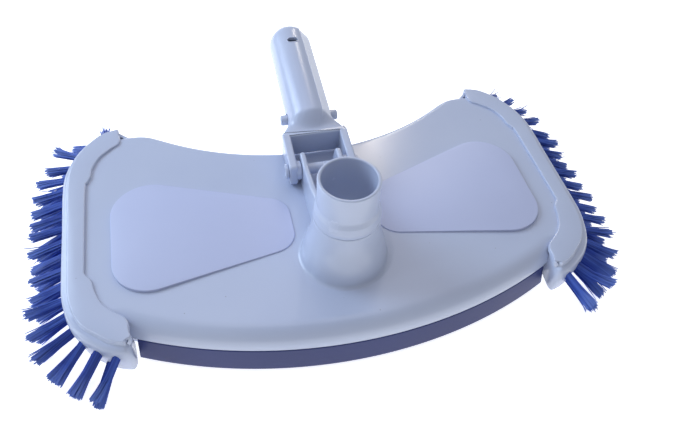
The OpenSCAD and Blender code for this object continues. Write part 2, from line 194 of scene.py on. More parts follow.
def value_range(tree, value, low, high):
    """A value from 0 to 1 stretched to run from low to high."""
    return add(tree, "ShaderNodeMapRange", {"Value": value, "To Min": low, "To Max": high})


def moulded_plastic(name, pale, deep, gloss, grain_mm, grain_height_mm, specks=True):
    """Moulded plastic: tone drifts between two near colours, roughness drifts with handling,
    and two noises bump it, one 6 mm wide from shrinkage and one at the tool's own grain."""
    material = bpy.data.materials.new(name)
    material.use_nodes = True
    tree = material.node_tree
    shader = tree.nodes["Principled BSDF"]
    place = add(tree, "ShaderNodeTexCoord").outputs["Object"]
    drift = add(tree, "ShaderNodeTexNoise", {"Vector": place, "Scale": per_metre(70), "Detail": 3.0})
    colour = tone_mix(tree, drift.outputs["Fac"], deep, pale).outputs["Color"]
    if specks:
        # grey specks of dirt about 0.5 mm wide, one in a few square centimetres
        cells = add(tree, "ShaderNodeTexVoronoi", {"Vector": place, "Scale": per_metre(17)})
        dot = add(tree, "ShaderNodeMapRange", {"Value": cells.outputs["Distance"], "From Min": 0.012,
                                              "From Max": 0.03, "To Min": 0.55, "To Max": 0.0})
        dirt = add(tree, "ShaderNodeMix", {"Factor": dot.outputs["Result"], "A": colour,
                                          "B": linear("5f6468")}, data_type="RGBA")
        colour = pick(dirt.outputs, "Result")
    tree.links.new(colour, shader.inputs["Base Color"])
    handled = add(tree, "ShaderNodeTexNoise", {"Vector": place, "Scale": per_metre(22), "Detail": 6.0,
                                              "Roughness": 0.65})
    rough = value_range(tree, handled.outputs["Fac"], gloss - 0.06, gloss + 0.08)
    tree.links.new(rough.outputs["Result"], shader.inputs["Roughness"])
    shader.inputs["IOR"].default_value = 1.53
    sink = add(tree, "ShaderNodeTexNoise", {"Vector": place, "Scale": per_metre(6), "Detail": 2.0})
    grain = add(tree, "ShaderNodeTexNoise", {"Vector": place, "Scale": per_metre(grain_mm), "Detail": 2.0})
    wavy = add(tree, "ShaderNodeBump", {"Height": sink.outputs["Fac"], "Strength": 0.5,
                                       "Distance": 0.02 * MM})
    fine = add(tree, "ShaderNodeBump", {"Height": grain.outputs["Fac"], "Strength": 0.7,
                                       "Distance": grain_height_mm * MM, "Normal": wavy.outputs["Normal"]})
    tree.links.new(fine.outputs["Normal"], shader.inputs["Normal"])
    return material


abs_gloss = moulded_plastic("abs_white_polished", "c3cce0", "b7c1da", 0.22, 0.9, 0.006)
abs_grained = moulded_plastic("abs_white_spark_eroded", "c3cbe8", "b9c2e2", 0.42, 0.7, 0.03)
abs_clean = moulded_plastic("abs_white_polished_fittings", "c2cbdf", "b8c2dc", 0.24, 0.9, 0.006, specks=False)
pvc_navy = moulded_plastic("soft_pvc_navy", "2a3778", "232e68", 0.42, 1.2, 0.02, specks=False)
nitrile = moulded_plastic("nitrile_rubber_black", "202225", "16181a", 0.6, 0.6, 0.02, specks=False)
print("plastic finishes made")


# %% Polypropylene filament
def filament_plastic(name, root, tip, shade):
    """Extruded polypropylene: each filament has its own tone, held in the 'strand' attribute,
    and pales towards its cut end, held in the 'along' attribute."""
    material = bpy.data.materials.new(name)
    material.use_nodes = True
    tree = material.node_tree
    shader = tree.nodes["Principled BSDF"]
    strand = add(tree, "ShaderNodeAttribute", attribute_name="strand")
    along = add(tree, "ShaderNodeAttribute", attribute_name="along")
    tone = tone_mix(tree, strand.outputs["Fac"], shade, root).outputs["Color"]
    paled = add(tree, "ShaderNodeMapRange", {"Value": along.outputs["Fac"], "From Min": 0.55,
                                            "To Min": 0.0, "To Max": 0.55})
    mixed = add(tree, "ShaderNodeMix", {"Factor": paled.outputs["Result"], "A": tone,
                                       "B": linear(tip)}, data_type="RGBA")
    tree.links.new(pick(mixed.outputs, "Result"), shader.inputs["Base Color"])
    worn = value_range(tree, strand.outputs["Fac"], 0.28, 0.5)
    tree.links.new(worn.outputs["Result"], shader.inputs["Roughness"])
    shader.inputs["IOR"].default_value = 1.49
    return material


bristle_blue = filament_plastic("polypropylene_filament_blue", "4769c8", "86a2e6", "27429a")
print("filament finish made")


# %% Steel
def steel(name, pale, deep, rough, grain_mm, metallic=1.0):
    """Plain steel: bright metal whose roughness and tone change in short streaks along X."""
    material = bpy.data.materials.new(name)
    material.use_nodes = True
    tree = material.node_tree
    shader = tree.nodes["Principled BSDF"]
    place = add(tree, "ShaderNodeTexCoord").outputs["Object"]
    drawn = add(tree, "ShaderNodeMapping", {"Vector": place, "Scale": (0.08, 1, 1)}).outputs["Vector"]
    streak = add(tree, "ShaderNodeTexNoise", {"Vector": drawn, "Scale": per_metre(grain_mm), "Detail": 4.0})
    tone = tone_mix(tree, streak.outputs["Fac"], deep, pale)
    tree.links.new(tone.outputs["Color"], shader.inputs["Base Color"])
    spread = value_range(tree, streak.outputs["Fac"], rough - 0.1, rough + 0.12)
    tree.links.new(spread.outputs["Result"], shader.inputs["Roughness"])
    shader.inputs["Metallic"].default_value = metallic
    return material


stainless = steel("stainless_steel_drawn", "c9ccd0", "a9adb3", 0.3, 0.8)
zinc = steel("mild_steel_zinc_coated", "b3b8bb", "85898c", 0.45, 3.0)
print("steel finishes made")

# %% [markdown]
# ## Curves and surfaces
# Every new surface here is one of two things: a grid of points that a formula fills at once, or a
# cross-section carried along a path. Both end as an array of points, and one function turns such
# arrays into a mesh, joins its seams, turns its faces outwards and puts it on its body.

# %% Curve helpers
def unit(v):
    """Vectors along the last axis, each divided by its own length."""
    return v / np.linalg.norm(v, axis=-1, keepdims=True)


def lengths_along(curve):
    """The running length of a polyline at each of its points."""
    return np.r_[0, np.cumsum(np.linalg.norm(np.diff(curve, axis=0), axis=1))]


def at_lengths(curve, lengths):
    """Points on a polyline at the given running lengths."""
    run = lengths_along(curve)
    return np.column_stack([np.interp(lengths, run, column) for column in curve.T])


def smooth_curve(points, per_span=24):
    """A Catmull-Rom curve through points: each span is the cubic whose slope at a point is half
    the step between that point's neighbours."""
    p = np.asarray(points, float)
    p = np.vstack([2 * p[0] - p[1], p, 2 * p[-1] - p[-2]])
    t = np.linspace(0, len(p) - 3 - 1e-9, per_span * (len(p) - 3) + 1)
    i = t.astype(int)
    f = (t - i)[:, None]
    a, b, c, d = p[i], p[i + 1], p[i + 2], p[i + 3]
    return 0.5 * (2 * b + (c - a) * f + (2 * a - 5 * b + 4 * c - d) * f ** 2
                  + (3 * b - a - 3 * c + d) * f ** 3)


def left_normals(curve, closed=False):
    """The direction a quarter turn left of a plane curve's own direction, at each point."""
    if closed:
        along = unit(np.roll(curve, -1, 0) - np.roll(curve, 1, 0))
    else:
        along = unit(np.gradient(curve, axis=0))
    return np.column_stack([-along[:, 1], along[:, 0]])


def rounded(corners, radii, steps=6):
    """A polygon with its corners turned into arcs that touch both sides of each corner."""
    p = np.asarray(corners, float)
    r = np.broadcast_to(np.asarray(radii, float), len(p))
    back, ahead = unit(np.roll(p, 1, 0) - p), unit(np.roll(p, -1, 0) - p)
    half_angle = np.arccos(np.clip((back * ahead).sum(1), -1, 1)) / 2
    centre = p + unit(back + ahead) * (r / np.sin(half_angle))[:, None]
    first = p + back * (r / np.tan(half_angle))[:, None] - centre
    last = p + ahead * (r / np.tan(half_angle))[:, None] - centre
    start = np.arctan2(first[:, 1], first[:, 0])
    turn = (np.arctan2(last[:, 1], last[:, 0]) - start + np.pi) % (2 * np.pi) - np.pi
    angle = start[:, None] + turn[:, None] * np.linspace(0, 1, steps + 1)
    arc = np.stack([np.cos(angle), np.sin(angle)], -1) * r[:, None, None]
    return (centre[:, None] + arc).reshape(-1, 2)


# %% From arrays to a mesh
def patch(grid, rows_loop=False, columns_loop=False, first_cap=False, last_cap=False):
    """Points of shape (rows, columns, 3) and the faces between them. A loop joins the last row or
    column to the first, and a cap closes the first or last row with one face."""
    rows, columns = grid.shape[:2]
    index = np.arange(rows * columns).reshape(rows, columns)
    wide = np.hstack([index, index[:, :1]]) if columns_loop else index
    tall = np.vstack([wide, wide[:1]]) if rows_loop else wide
    quads = np.stack([tall[:-1, :-1], tall[1:, :-1], tall[1:, 1:], tall[:-1, 1:]], -1).reshape(-1, 4)
    faces = quads.tolist()
    if first_cap:
        faces.append(index[0].tolist())
    if last_cap:
        faces.append(index[-1][::-1].tolist())
    return grid.reshape(-1, 3), faces


def flipped(part):
    """The mirror image of a patch on the other side of the YZ plane."""
    return part[0] * [-1, 1, 1], part[1]


def new_piece(name, parts, body, finish, replaces=(), crease=35, at_port=True):
    """One object from patches in millimetres. Points that meet are merged, faces are turned
    outwards and edges sharper than crease degrees stay sharp. at_port moves points given round
    the port's axis to the frame's own origin."""
    points, faces, count = [], [], 0
    for part_points, part_faces in parts:
        points.append(part_points)
        faces += [[i + count for i in face] for face in part_faces]
        count += len(part_points)
    points = np.vstack(points) + ([0, PORT_Y, 0] if at_port else [0, 0, 0])
    mesh = bpy.data.meshes.new(name)
    mesh.from_pydata(points * MM, [], faces)
    work = bmesh.new()
    work.from_mesh(mesh)
    bmesh.ops.remove_doubles(work, verts=work.verts, dist=0.001 * MM)
    bmesh.ops.recalc_face_normals(work, faces=work.faces)
    work.to_mesh(mesh)
    work.free()
    mesh.shade_smooth()
    mesh.set_sharp_from_angle(angle=math.radians(crease))
    mesh.materials.append(finish)
    made = bpy.data.objects.new(name, mesh)
    bpy.context.scene.collection.objects.link(made)
    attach(made, body)
    if replaces:
        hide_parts(*([replaces] if isinstance(replaces, str) else replaces))
    print(f"{name}: {len(mesh.vertices)} points, {len(mesh.polygons)} faces")
    return made


# %% Revolved and flat pieces
def revolve(profile, steps=128, loop=True):
    """A (radius, height) profile turned round +Z: rows are steps of angle, columns the profile."""
    angle = np.arange(steps) / steps * 2 * np.pi
    radius, height = np.asarray(profile, float).T
    grid = np.stack([np.outer(np.cos(angle), radius), np.outer(np.sin(angle), radius),
                     np.tile(height, (steps, 1))], -1)
    return patch(grid, rows_loop=True, columns_loop=loop)


def plate(outline, low, high, edge=0.8, steps=4):
    """A flat plate: its outline is carried up from low to high, and at both faces it draws in along
    a quarter circle of radius edge. The result is (rows, points, 3), the third number the height."""
    q = np.linspace(0, np.pi / 2, steps + 1)
    inset = edge * (1 - np.cos(q))
    rise = edge * (1 - np.sin(q))
    outline = np.asarray(outline, float)
    area = np.sum(outline[:, 0] * np.roll(outline[:, 1], -1) - outline[:, 1] * np.roll(outline[:, 0], -1))
    inward = left_normals(outline, closed=True) * np.sign(area)
    insets = np.r_[inset[::-1], inset]
    heights = np.r_[low + rise[::-1], high - rise]
    flat = outline[None] + insets[:, None, None] * inward[None]
    return np.concatenate([flat, np.broadcast_to(heights[:, None, None], flat.shape[:2] + (1,))], -1)


def across_x(grid):
    """Turns a plate drawn in (y, z) with its thickness along x into (x, y, z)."""
    return grid[..., [2, 0, 1]]


def handle_frame(part):
    """Moves a patch from the handle's own frame, with its origin on the pivot and +Y along the
    tube, to where the handle lies at rest."""
    along = np.array(TUBE_AXIS)
    above = np.cross([1, 0, 0], along)
    turn = np.column_stack([[1, 0, 0], along, above])
    return part[0] @ turn.T + PIVOT, part[1]


print("helpers ready")

# %% [markdown]
# ## The outline of the head
# Seen from above the head is bounded by a large arc in front, a hollow arc behind and two curved
# ends. The ends follow the brush holders, so the same curve serves both. The two arcs and the end
# curve are joined, spaced evenly and averaged a little, which rounds the corners where they meet.

# %% Driving sizes and the end curve
FRONT_R, REAR_R = 328.0, 200.0          # radii of the front and the hollow rear edge
FRONT_CY, REAR_CY = 268.1, 304.8        # their centres, along Y from the port's axis
REAR_FLAT = 150.4                       # the rear edge levels out here beside the holders
HOLDER_T = 8.0                          # a holder's thickness outside the shell's end
WALL = 2.6
SKIRT_Z = 6.0
BUMPER_LOW, BUMPER_TOP, BUMPER_T = 3.6, 20.8, 5.0
FRONT_ROLL, SIDE_ROLL = 12.0, 5.0       # radii of the shell's rolled edges
CROWN = 2.3                             # how far the top falls from the middle to the ends
CROWN_X = 168.0
COLLAR_FOOT = 31.2                      # radius where the collar's fillet meets the top
END_POINTS = [(150, 160), (164, 155.5), (178, 140), (186, 120), (188, 100), (185.5, 58), (182.5, 10),
              (180, -6), (175.5, -19), (168, -29.5), (155, -39.5), (144.5, -43.6), (139, -43)]
LIP_POINTS = [(148, 151), (148.5, 141), (155, 135), (162.5, 127), (167, 116), (168, 107), (170, 101),
              (171, 92), (168, 26), (167, 16.5), (163, 11), (160.5, 2), (156, -8), (149, -15.5),
              (143, -20), (140, -25), (139.5, -31), (137.5, -37)]
end_curve = smooth_curve(END_POINTS)
lip_curve = smooth_curve(LIP_POINTS)


def head_outline(count=720):
    """The shell's edge as one loop of evenly spaced points, clockwise from above: half of it is the
    rear arc (softly limited to REAR_FLAT), the end curve moved in by HOLDER_T and the front arc;
    the other half is its mirror image. A running average over 9 points rounds the corners."""
    x = np.linspace(0, 146, 300)
    arc = REAR_CY - np.sqrt(REAR_R ** 2 - x ** 2)
    soft = 3.0
    rear = np.column_stack([x, -soft * np.log(np.exp(-arc / soft) + np.exp(-REAR_FLAT / soft))])
    side = end_curve - HOLDER_T * left_normals(end_curve)
    inside_front = np.hypot(side[:, 0], side[:, 1] - FRONT_CY) < FRONT_R
    side = side[(side[:, 1] < REAR_FLAT - 1) & inside_front]
    x = np.linspace(side[-1, 0], 0, 300)[1:]
    front = np.column_stack([x, FRONT_CY - np.sqrt(FRONT_R ** 2 - x ** 2)])
    half_loop = np.vstack([rear, side, front])
    loop = np.vstack([half_loop, (half_loop * [-1, 1])[::-1][1:]])
    loop = at_lengths(loop, np.linspace(0, lengths_along(loop)[-1], count + 1))[:-1]
    window = np.arange(-4, 5)
    return np.mean([np.roll(loop, k, 0) for k in window], axis=0)


outline = head_outline()
outward = left_normals(outline, closed=True)
print(f"outline {np.ptp(outline[:, 0]):.1f} x {np.ptp(outline[:, 1]):.1f} mm")


def top_height(x):
    """Height of the shell's crowned top: it falls with the square of the distance from the middle."""
    return SHELL_TOP - CROWN * (x / CROWN_X) ** 2


# %% [markdown]
# ## The shell
# The shell is one moulding, so it is one closed surface. Its section is followed ring by ring: down
# the collar, out over the crowned top, round the rolled edge, down the wall to the skirt, up the
# inside, in along the ceiling and up the throat to the collar's top again.

# %% The shell's rings
def ring_at(inset, height):
    """The outline moved in by inset (one number or one per point) at a height."""
    plan = outline - np.reshape(inset, (-1, 1)) * outward
    return np.column_stack([plan, np.broadcast_to(height, len(plan))])


def shell_surface():
    """All rings from the collar's top to the throat, stacked into one grid that loops both ways."""
    front = np.clip((-outline[:, 1] - 2) / 20, 0, 1) * (np.abs(outline[:, 0]) < 157)
    front = np.mean([np.roll(front, k) for k in range(-6, 7)], axis=0)
    roll = SIDE_ROLL + (FRONT_ROLL - SIDE_ROLL) * front
    recess = BUMPER_T * (front > 0.3)
    edge_z = top_height(outline[:, 0])
    bearing = np.arctan2(outline[:, 1], outline[:, 0])
    compass = np.column_stack([np.cos(bearing), np.sin(bearing)])

    def circle(radius, height):
        return np.column_stack([radius * compass, np.broadcast_to(height, len(compass))])

    collar = smooth_curve([(21.3, 72.9), (21.8, 66), (23.3, 58), (25.6, 51), (27.3, 45), (28.2, 40.5),
                           (28.7, 38.0), (29.5, 36.2), (COLLAR_FOOT, 35.2)], 4)
    rings = [circle(20.6, 73.4), circle(21.0, 73.3)] + [circle(r, z) for r, z in collar]
    top_edge = outline - roll[:, None] * outward
    foot = COLLAR_FOOT * compass
    spacing = np.linspace(0, 1, 34)[1:]
    for share in spacing:
        plan = foot + share * (top_edge - foot)
        blend = np.clip(share / 0.15, 0, 1)
        rings.append(np.column_stack([plan, 35.2 * (1 - blend) + blend * top_height(plan[:, 0])]))
    for q in np.linspace(0, np.pi / 2, 11)[1:]:
        rings.append(ring_at(roll * (1 - np.sin(q)), edge_z - roll * (1 - np.cos(q))))
    rings.append(ring_at(0 * roll, BUMPER_TOP + 0.1))
    rings.append(ring_at(recess, BUMPER_TOP))
    rings.append(ring_at(recess, SKIRT_Z + 0.4))
    rings.append(ring_at(recess + 0.4, SKIRT_Z))
    rings.append(ring_at(recess + WALL - 0.4, SKIRT_Z))
    rings.append(ring_at(recess + WALL, SKIRT_Z + 0.4))
    ceiling = edge_z - 3.4
    rings.append(ring_at(np.maximum(recess, roll * 0.35) + WALL, ceiling - 2))
    rings.append(ring_at(np.maximum(recess, roll * 0.35) + WALL + 1.6, ceiling))
    inner_edge = rings[-1][:, :2]
    for share in np.linspace(0, 1, 16)[1:-1]:
        plan = inner_edge + share * (17.5 * compass - inner_edge)
        rings.append(np.column_stack([plan, top_height(plan[:, 0]) - 3.3]))
    rings += [circle(17.5, 31.9), circle(17.0, 32.4), circle(17.0, 46), circle(19.0, 46), circle(19.0, 73.2),
              circle(19.3, 73.4)]
    return patch(np.stack(rings), rows_loop=True, columns_loop=True)


def lug(x_in=11.3, thick=4.0):
    """One of the two fins that carry the pivot pin, 1.6 times as thick at its foot as at its top."""
    side = [(12, 33), (12, 69), (20, 68), (40, 60), (64, 56), (79.5, 57.8), (83, 48), (85, 33)]
    outline_yz = rounded(side, [1, 2, 6, 20, 20, 4, 6, 1], 8)
    grid = across_x(plate(outline_yz, x_in, x_in + thick, 1.5, 5))
    middle = x_in + thick / 2
    swell = 1 + 0.6 * np.clip((56 - grid[..., 2]) / 20, 0, 1) ** 1.5
    grid[..., 0] = middle + (grid[..., 0] - middle) * swell
    return patch(grid, columns_loop=True, first_cap=True, last_cap=True)


new_piece("shell_moulding", [shell_surface(), lug(), flipped(lug())], "head", abs_gloss,
          "top_shell")

# %% [markdown]
# The two pads are flat while the top round them is crowned, so their rims grow taller towards the
# ends of the head. They carry a finer spark-eroded grain, which is why they look a little paler.

# %% Pads
PAD_CORNERS = [(29.5, 53.6), (154.5, 101), (149.2, -10.7), (29.5, 11)]
PAD_RADII = [17, 26, 26, 16]


def pad():
    """A plate with the pad's outline, sunk into the top."""
    grid = plate(rounded(PAD_CORNERS, PAD_RADII, 14), SHELL_TOP - 3, PAD_TOP, 0.45, 3)
    return patch(grid, columns_loop=True, first_cap=True, last_cap=True)


new_piece("pad_right", [pad()], "head", abs_grained)
new_piece("pad_left", [flipped(pad())], "head", abs_grained)

# %% [markdown]
# ## Brush holders
# Each holder is a long block clipped round one end of the shell. Its section has a flat plateau, a
# small hollow step down to a lower tier, and a rounded shoulder that rolls into the outer wall. The
# section is carried between two rails: the outer edge, and the inner edge of the plateau. At both
# tips the whole section draws in along a quarter circle, so the ends are rounded like the moulding.

# %% Holder surface
HOLDER_LOW = 7.0
PLATEAU = PAD_TOP - 1.0


def holder():
    """The holder's section at every station along its rails, as one closed grid."""
    outer_length, inner_length = lengths_along(end_curve)[-1], lengths_along(lip_curve)[-1]
    q = np.linspace(0, np.pi / 2, 7)
    tip, nose = 1.2, 3.2                # rounding at the rear tip and at the front nose
    stations = np.r_[tip * (1 - np.cos(q)), np.linspace(tip, outer_length - nose, 250)[1:-1],
                     outer_length - nose * (1 - np.cos(q[::-1]))]
    draw_in = np.r_[tip * (1 - np.sin(q)), np.zeros(248), nose * (1 - np.sin(q[::-1]))]
    share = stations / outer_length
    outer, inner = at_lengths(end_curve, stations), at_lengths(lip_curve, share * inner_length)
    outer_n, inner_n = left_normals(outer), left_normals(inner)
    tier = np.interp(share, [0, 0.06, 0.3, 0.75, 0.88, 1], [1.8, 2.6, 4.6, 5.2, 6.8, 5.2])
    tier_z = np.interp(share, [0, 0.7, 0.85, 1], [33.4, 32.6, 31.6, 31.2])
    round_x = np.interp(share, [0, 0.1, 0.7, 0.86, 1], [1.2, 2.0, 2.4, 4.2, 4.0])
    wide_z = np.interp(share, [0, 0.1, 0.7, 0.86, 1], [31.5, 30.2, 29.4, 23.5, 22.5])
    block = np.interp(share, [0, 0.8, 0.9, 1], [HOLDER_T, HOLDER_T, 13, 14])
    rings = []

    def from_outer(inset, height):
        plan = outer - np.reshape(inset + draw_in, (-1, 1)) * outer_n
        rings.append(np.column_stack([plan, np.broadcast_to(height, len(plan))]))

    def from_inner(inset, height):
        plan = inner + np.reshape(inset + draw_in, (-1, 1)) * inner_n
        rings.append(np.column_stack([plan, np.broadcast_to(height, len(plan))]))

    top, low = PLATEAU - draw_in, HOLDER_LOW + draw_in
    from_outer(2.6, low)
    from_outer(1.7, low + 0.3)
    from_outer(1.4, low + 1.2)
    from_outer(0.3, wide_z - 4)
    for a in np.linspace(0, np.pi / 2, 9):
        from_outer(round_x * (1 - np.cos(a)), wide_z + (tier_z - draw_in - wide_z) * np.sin(a))
    step = top - (tier_z - draw_in)
    for inset, rise in ((1.15, 0.03), (0.75, 0.14), (0.45, 0.38), (0.25, 0.66), (0.05, 0.86), (-0.25, 0.965),
                        (-0.7, 1.0)):
        from_outer(tier - inset, tier_z - draw_in + rise * step)
    for inset, drop in ((1.0, 0.0), (0.45, 0.08), (0.15, 0.32), (0.0, 0.8), (0.0, 3.4)):
        from_inner(inset, top - drop)
    from_outer(block, PLATEAU - 3.6)
    from_outer(block, low + 0.4)
    from_outer(block - 0.4, low)
    return patch(np.stack(rings, 1), columns_loop=True, first_cap=True, last_cap=True)


new_piece("brush_holder_moulding_right", [holder()], "head", abs_gloss,
          "brush_holder_right")
new_piece("brush_holder_moulding_left", [flipped(holder())], "head", abs_gloss,
          "brush_holder_left")

# %% [markdown]
# ## Bumper
# A soft strip keeps the front edge from scratching the pool's liner. It is an extrusion, so it is
# one section turned about the front edge's centre. It leans out towards the floor.

# %% Bumper surface
def bumper():
    """The strip's section in (radius, height), turned through the front edge's angle."""
    section = rounded([(323.2, BUMPER_LOW), (331.6, BUMPER_LOW), (332, BUMPER_LOW + 2), (328.4, BUMPER_TOP),
                       (323.2, BUMPER_TOP)], [0.5, 1.2, 1.5, 0.9, 0.4], 5)
    reach = math.asin(137.5 / FRONT_R)
    angle = np.linspace(-reach, reach, 260)[:, None]
    radius = section[None, :, 0]
    grid = np.stack([radius * np.sin(angle), FRONT_CY - radius * np.cos(angle),
                     np.broadcast_to(section[:, 1], (260, len(section)))], -1)
    return patch(grid, columns_loop=True, first_cap=True, last_cap=True)


new_piece("front_bumper_strip", [bumper()], "head", pvc_navy, "front_bumper")

# %% [markdown]
# ## Tufts of filament
# A tuft is some sixty filaments stapled into one hole. They leave it packed like the seeds of a
# sunflower, spread a little towards the cut end and lean to one side from use. Every filament is a
# three-sided rod with four rings, so even thousands of them stay light.

# %% Filaments
def tufts(roots, directions, lengths, root_r, flare, lean, seed, filaments=64, thick=0.42):
    """All the filaments of a row of tufts at once. Filament k of a tuft starts at sunflower spot k
    (radius by the square root of k, angle k times the golden angle), and at distance s along it
    its offset is the start times 1 + flare * (s / length)^2, plus the tuft's lean times the
    square of s / length, plus a small curl of its own."""
    random = np.random.default_rng(seed)
    count = len(roots)
    k = np.arange(filaments)
    spot_r = root_r * np.sqrt((k + 0.5) / filaments)
    spot_a = k * math.pi * (3 - math.sqrt(5))
    axis = unit(np.asarray(directions, float))
    side = unit(np.cross(axis, [0, 0, 1]))
    up = np.cross(side, axis)
    levels = np.array([0.0, 0.45, 0.8, 1.0])
    spread = 1 + np.reshape(flare, (-1, 1, 1)) * levels ** 2
    jitter = random.normal(0, 0.10 * root_r, (count, filaments, 2))
    curl = random.normal(0, 0.26 * root_r, (count, filaments, 2))
    stray = random.random((count, filaments)) > 0.985
    curl[stray] *= 5
    base = np.stack([spot_r * np.cos(spot_a), spot_r * np.sin(spot_a)], -1) + jitter
    squash = random.uniform(0.8, 1.15, (count, 1, 1, 1))
    offset = base[:, :, None] * spread[..., None] * np.concatenate([squash, 1 / squash], -1)
    offset = offset + curl[:, :, None] * (levels ** 2)[:, None]
    offset = offset + np.asarray(lean, float)[:, None, None, :] * (levels ** 2)[:, None]
    reach = np.reshape(lengths, (-1, 1)) * (1 + random.normal(0, 0.018, (count, filaments)))
    run = reach[..., None] * levels
    core = (np.asarray(roots, float)[:, None, None] + axis[:, None, None] * run[..., None]
            + side[:, None, None] * offset[..., :1] + up[:, None, None] * offset[..., 1:])
    corner = np.arange(3) / 3 * 2 * np.pi
    ring = (side[:, None] * np.cos(corner)[None, :, None] + up[:, None] * np.sin(corner)[None, :, None])
    radius = thick * np.array([1, 1, 1, 0.75])
    points = core[..., None, :] + ring[:, None, None] * radius[None, None, :, None, None]
    rods = count * filaments
    points = points.reshape(rods, len(levels) * 3, 3)
    index = np.arange(len(levels) * 3).reshape(len(levels), 3)
    nxt = np.roll(index, -1, 1)
    quads = np.stack([index[:-1], nxt[:-1], nxt[1:], index[1:]], -1).reshape(-1, 4)
    start = (np.arange(rods) * len(levels) * 3)[:, None, None]
    faces = (quads[None] + start).reshape(-1, 4).tolist() + (index[-1][None] + start[:, 0]).tolist()
    strand = np.repeat(random.random(rods), len(levels) * 3)
    along = np.tile(np.repeat(levels, 3), rods)
    return points.reshape(-1, 3), faces, strand, along


def tuft_piece(name, parts, replaces, finish):
    """One object from a row of tufts, with each point's strand tone and place along the filament."""
    points, faces, strand, along = parts
    mesh = bpy.data.meshes.new(name)
    mesh.from_pydata((points + [0, PORT_Y, 0]) * MM, [], faces)
    for label, values in (("strand", strand), ("along", along)):
        mesh.attributes.new(label, "FLOAT", "POINT").data.foreach_set("value", values.astype(np.float32))
    mesh.shade_smooth()
    mesh.set_sharp_from_angle(angle=math.radians(70))
    mesh.materials.append(finish)
    made = bpy.data.objects.new(name, mesh)
    bpy.context.scene.collection.objects.link(made)
    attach(made, "head")
    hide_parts(replaces)
    print(f"{name}: {len(mesh.polygons)} faces")
    return made


# %% Side rows
TUFT_PITCH, TUFT_FREE, TUFT_ROOT_R = 12.4, 25.6, 2.5
end_length = lengths_along(end_curve)[-1]
tuft_count = int((end_length - 10) // TUFT_PITCH) + 1
tuft_start = (end_length - (tuft_count - 1) * TUFT_PITCH) / 2


def side_row(row_z, droop, extra, seed, mirror):
    """Tufts at even steps along the holder's wall, leaning down by droop degrees from level."""
    random = np.random.default_rng(seed)
    steps = np.arange(tuft_count - (extra > 0))
    lengths = tuft_start + (steps + extra) * TUFT_PITCH
    spots = at_lengths(end_curve, lengths)
    ahead = unit(at_lengths(end_curve, lengths + 0.5) - at_lengths(end_curve, lengths - 0.5))
    out = np.column_stack([-ahead[:, 1], ahead[:, 0]])
    fall = math.radians(droop)
    sway = random.normal(0, 0.05, (len(spots), 2))
    along = np.column_stack([-out[:, 1], out[:, 0]])
    flat = unit(out + along * sway[:, :1])
    direction = np.column_stack([flat * math.cos(fall), np.full(len(flat), -math.sin(fall)) + sway[:, 1]])
    roots = np.column_stack([spots - 1.5 * out, np.full(len(spots), row_z)])
    corner_wear = np.clip((spots[:, 1] + 0) / -30, 0, 1) + np.clip((spots[:, 1] - 120) / 40, 0, 1)
    flare = 0.2 + 0.45 * corner_wear * random.random(len(spots)) + random.uniform(-0.05, 0.12, len(spots))
    lean = random.normal(0, 0.7 + 1.6 * corner_wear[:, None], (len(spots), 2))
    points, faces, strand, place = tufts(roots, direction, TUFT_FREE + 1.5 + random.normal(0, 0.5, len(spots)),
                                         TUFT_ROOT_R, flare, lean, seed + 1)
    points[:, 2] = np.maximum(points[:, 2], 0.2)
    return points * ([-1, 1, 1] if mirror else [1, 1, 1]), faces, strand, place


for side_name, mirror in (("left", True), ("right", False)):
    for row_name, row_z, droop, extra in (("upper", 24, 18, 0.0), ("lower", 14, 26, 0.5)):
        seed = 10 + 20 * mirror + 7 * (extra > 0)
        row = side_row(row_z, droop, extra, seed, mirror)
        tuft_piece(f"side_bristles_{side_name}_{row_name}", row, f"side_tufts_{side_name}_{row_name}",
                   bristle_blue)

# %% [markdown]
# ## Hose spigot
# The spigot is turned about its own axis: a sleeve inside the collar, a foot bead that covers the
# seam, and a straight tube for the hose cuff. Its inside keeps one small step where the sleeve starts.

# %% Spigot surface
BORE_R = 16.5
SEAM_Z = 73.4


def spigot():
    """The spigot's section with rounded corners, revolved."""
    foot = SEAM_Z + 0.3
    corners = [(BORE_R, 47), (18.7, 47), (18.7, foot), (21.3, foot), (21.5, foot + 3), (20.7, foot + 7.8),
               (19.3, foot + 10.8), (PORT_R, foot + 12), (PORT_R, RIM_Z), (BORE_R + 0.3, RIM_Z),
               (BORE_R + 0.3, foot - 6), (BORE_R, foot - 7)]
    radii = [0.3, 0.3, 0.2, 0.5, 2.5, 3, 3, 1, 0.9, 0.9, 0.3, 0.3]
    return revolve(rounded(corners, radii, 5), 144)


new_piece("hose_spigot_moulding", [spigot()], "hose_swivel", abs_clean, "hose_spigot")

# %% [markdown]
# ## Handle
# The handle is modelled in its own frame, with the pivot at the origin and the tube along +Y, and
# then laid back at its rest slope. The tube's section is a circle with one flat strip and a thin
# moulding rib beside it. The hollow, the slot below, the drain hole and the two button holes are
# cut out of it, as they are cored out in the mould.

# %% Tube surface
TUBE_END = 150.5 - TUBE_R              # centre of the domed tip, from the pivot
DRAIN_Y = TUBE_END - 11.0               # middle of the drain hole
ROOT_Y, WEB_Y = 31.0, 26.0
EAR_IN, EAR_OUT = 18.8, 24.8
BUTTON_Y, BUTTON_R = 50.0, 4.0
WEB_LOW = -14.0
FLAT_MIDDLE, FLAT_HALF = math.radians(50), math.radians(20)
WALL_TUBE = 2.5


